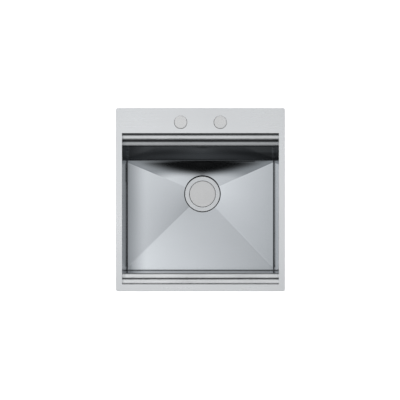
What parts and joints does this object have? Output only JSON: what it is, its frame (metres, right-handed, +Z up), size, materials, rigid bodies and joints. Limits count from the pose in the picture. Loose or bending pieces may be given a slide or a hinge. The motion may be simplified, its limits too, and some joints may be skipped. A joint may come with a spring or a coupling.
{
  "type": "kitchen sink",
  "caption": "Drop-in steel kitchen sink with a rear deck, stepped rails at front and rear, an X-creased floor and a basket waste raised by a deck knob.",
  "frame": {"origin": "centre of the outer rim in plan, at the height of the worktop's top surface", "axes": "+X to the right seen from the front, +Y to the rear where the deck is, +Z up out of the bowl"},
  "size_m": [0.47, 0.51, 0.3138],
  "materials": {
    "sheet_steel": "brushed stainless sheet",
    "bright_steel": "fine satin stainless",
    "zinc_steel": "zinc-plated",
    "brass": "turned",
    "seal_rubber": "matt moulded",
    "foam": "closed-cell foam strip",
    "sound_pad": "matt damping sheet",
    "grey_plastic": "moulded",
    "black_plastic": "moulded"
  },
  "bodies": {
    "sink": {"top_plate": "sheet_steel", "bowl_shell": "sheet_steel", "front_step_rail": "sheet_steel", "rear_step_rail": "sheet_steel", "rim_gasket": "foam", "clip_brackets": "zinc_steel", "clip_hooks": "zinc_steel", "clip_screws": "zinc_steel", "side_pads": "sound_pad", "front_pad": "sound_pad", "rear_pad": "sound_pad", "floor_pads": "sound_pad", "waste_flange": "bright_steel", "flange_gasket": "seal_rubber", "body_gasket": "seal_rubber", "waste_body": "grey_plastic", "pin_guide": "grey_plastic", "shaft_seal": "seal_rubber", "lever_housing": "grey_plastic", "lever_cover": "grey_plastic", "cover_screws": "zinc_steel", "waste_cable_gland": "black_plastic", "knob_body": "black_plastic", "knob_gasket": "seal_rubber", "knob_washer": "zinc_steel", "knob_nut": "black_plastic", "drum_housing": "black_plastic", "knob_cable_gland": "black_plastic", "hole_cover": "bright_steel", "cover_gasket": "seal_rubber", "cover_bolt": "zinc_steel", "cover_bridge": "zinc_steel", "cover_nut": "black_plastic"},
    "knob": {"knob_cap": "bright_steel", "knob_spindle": "brass", "spindle_ring": "zinc_steel", "cable_drum": "black_plastic"},
    "rocker": {"rocker_shaft": "bright_steel", "lift_finger": "black_plastic", "pull_lever": "black_plastic"},
    "lifter": {"lift_pin": "bright_steel"},
    "plug": {"plug_cap": "bright_steel", "plug_seal": "seal_rubber", "strainer_basket": "bright_steel", "plug_stem": "bright_steel", "stem_nut": "brass"}
  },
  "joints": [
    {"name": "knob_turn", "type": "hinge", "parent": "sink", "child": "knob", "pos_m": [-0.055, 0.215, 0], "axis": [0, 0, 1], "range_deg": [0, 90]},
    {"name": "rocker_swing", "type": "hinge", "parent": "sink", "child": "rocker", "pos_m": [0.006, 0.033, -0.263], "axis": [-1, 0, 0], "range_deg": [0, 40]},
    {"name": "pin_lift", "type": "slide", "parent": "sink", "child": "lifter", "axis": [0, 0, 1], "range_m": [0, 0.01095]},
    {"name": "plug_lift_out", "type": "slide", "parent": "lifter", "child": "plug", "axis": [0, 0, 1], "range_m": [0, 0.1]}
  ],
  "couplings": [
    {"joint": "rocker_swing", "follows": "knob_turn", "ratio": 0.4444},
    {"joint": "pin_lift", "follows": "knob_turn", "m_per_rad": 0.00696}
  ]
}
